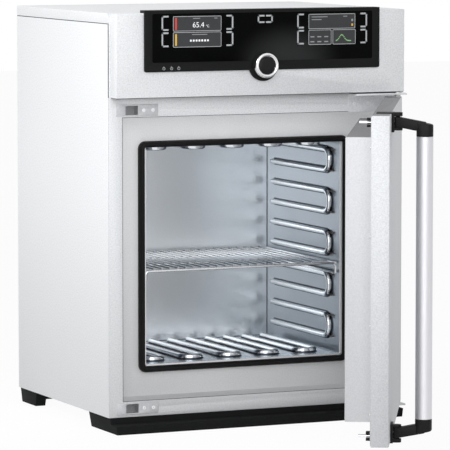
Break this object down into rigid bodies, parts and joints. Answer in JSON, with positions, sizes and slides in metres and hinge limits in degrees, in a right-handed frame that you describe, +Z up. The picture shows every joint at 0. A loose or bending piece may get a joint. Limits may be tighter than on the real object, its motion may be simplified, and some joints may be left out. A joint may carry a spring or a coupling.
{
  "type": "laboratory heating oven",
  "caption": "Stainless steel laboratory paraffin oven with its insulated door open, a bar handle with two latches, a ribbed chamber, one wire shelf and a knob under a dark display.",
  "frame": {"origin": "on the surface the oven stands on, under the middle of the front foot's bar", "axes": "+X to the viewer's right when facing the door, +Y to the back, +Z up"},
  "size_m": [0.585, 0.9991, 0.763],
  "materials": {
    "textured_stainless": "fine textured stainless sheet",
    "polished_stainless": "smooth bright stainless sheet",
    "galvanised_sheet": "zinc plated sheet",
    "screw_steel": "plated steel",
    "bearing_steel": "ground steel",
    "shelf_steel": "electropolished wire",
    "heater_steel": "oxidised steel bar",
    "seal_rubber": "black silicone",
    "charcoal_plastic": "charcoal moulded plastic",
    "black_plastic": "black moulded plastic",
    "bezel_plastic": "dark grey moulded plastic",
    "dark_glass": "black tinted pane",
    "display_module": "light grey display",
    "board_green": "coated circuit board",
    "satin_aluminium": "satin anodised",
    "knob_chrome": "bright plated",
    "shaft_steel": "turned steel",
    "mineral_wool": "mineral wool board"
  },
  "bodies": {
    "cabinet": {"bottom_panel": "galvanised_sheet", "chamber_back_wall": "polished_stainless", "chamber_ceiling": "polished_stainless", "chamber_floor": "polished_stainless", "chamber_left": "polished_stainless", "chamber_right": "polished_stainless", "chamber_seal": "seal_rubber", "control_board": "board_green", "control_panel": "textured_stainless", "display_bezel": "bezel_plastic", "display_glass": "dark_glass", "display_modules": "display_module", "encoder_housing": "black_plastic", "flap_motor": "black_plastic", "frame_screws": "screw_steel", "front_frame": "textured_stainless", "front_plinth": "charcoal_plastic", "heater_ceiling": "heater_steel", "heater_floor": "heater_steel", "heater_left": "heater_steel", "heater_right": "heater_steel", "insulation_bottom": "mineral_wool", "insulation_left": "mineral_wool", "insulation_rear": "mineral_wool", "insulation_right": "mineral_wool", "insulation_top": "mineral_wool", "latch_keepers": "polished_stainless", "left_side_panel": "textured_stainless", "lower_hinge_bracket": "polished_stainless", "power_board": "board_green", "power_inlet": "black_plastic", "rear_feet": "charcoal_plastic", "rear_panel": "galvanised_sheet", "rear_panel_screws": "screw_steel", "right_side_panel": "textured_stainless", "service_tray": "galvanised_sheet", "temperature_probe": "screw_steel", "top_cover": "textured_stainless", "upper_hinge_bracket": "polished_stainless", "vent_pipe": "galvanised_sheet"},
    "door": {"door_outer_shell": "textured_stainless", "door_inner_tray": "polished_stainless", "door_insulation": "mineral_wool", "door_tray_screws": "screw_steel", "door_hinge_bushes": "bearing_steel", "latch_guides": "black_plastic", "upper_handle_base": "black_plastic", "lower_handle_base": "black_plastic", "handle_pins": "screw_steel"},
    "handle": {"handle_tube": "satin_aluminium", "upper_handle_arm": "black_plastic", "lower_handle_arm": "black_plastic", "latch_hooks": "screw_steel"},
    "knob": {"knob_ring": "knob_chrome", "knob_cap": "bezel_plastic", "knob_shaft": "shaft_steel"},
    "plunger": {"encoder_plunger": "shaft_steel"},
    "flap": {"vent_flap": "galvanised_sheet"},
    "shelf": {"shelf_grid": "shelf_steel"}
  },
  "joints": [
    {"name": "door_hinge", "type": "hinge", "parent": "cabinet", "child": "door", "pos_m": [0.274, -0.01785, 0.3131], "axis": [0, 0, 1], "range_deg": [-61, 59]},
    {"name": "handle_turn", "type": "hinge", "parent": "door", "child": "handle", "pos_m": [0.05641, -0.45062, 0.3131], "axis": [0, 0, -1], "range_deg": [-12, 0]},
    {"name": "knob_press", "type": "slide", "parent": "cabinet", "child": "plunger", "axis": [0, 1, 0], "range_m": [0, 0.0015], "stiffness_N_per_m": 800},
    {"name": "knob_turn", "type": "hinge", "parent": "plunger", "child": "knob", "pos_m": [0, -0.03785, 0.661], "axis": [0, 1, 0], "continuous": true},
    {"name": "shelf_slide", "type": "slide", "parent": "cabinet", "child": "shelf", "axis": [0, -1, 0], "range_m": [0, 0.08]},
    {"name": "flap_turn", "type": "hinge", "parent": "cabinet", "child": "flap", "pos_m": [-0.12, 0.43715, 0.47], "axis": [0, 0, 1], "range_deg": [0, 90]}
  ]
}
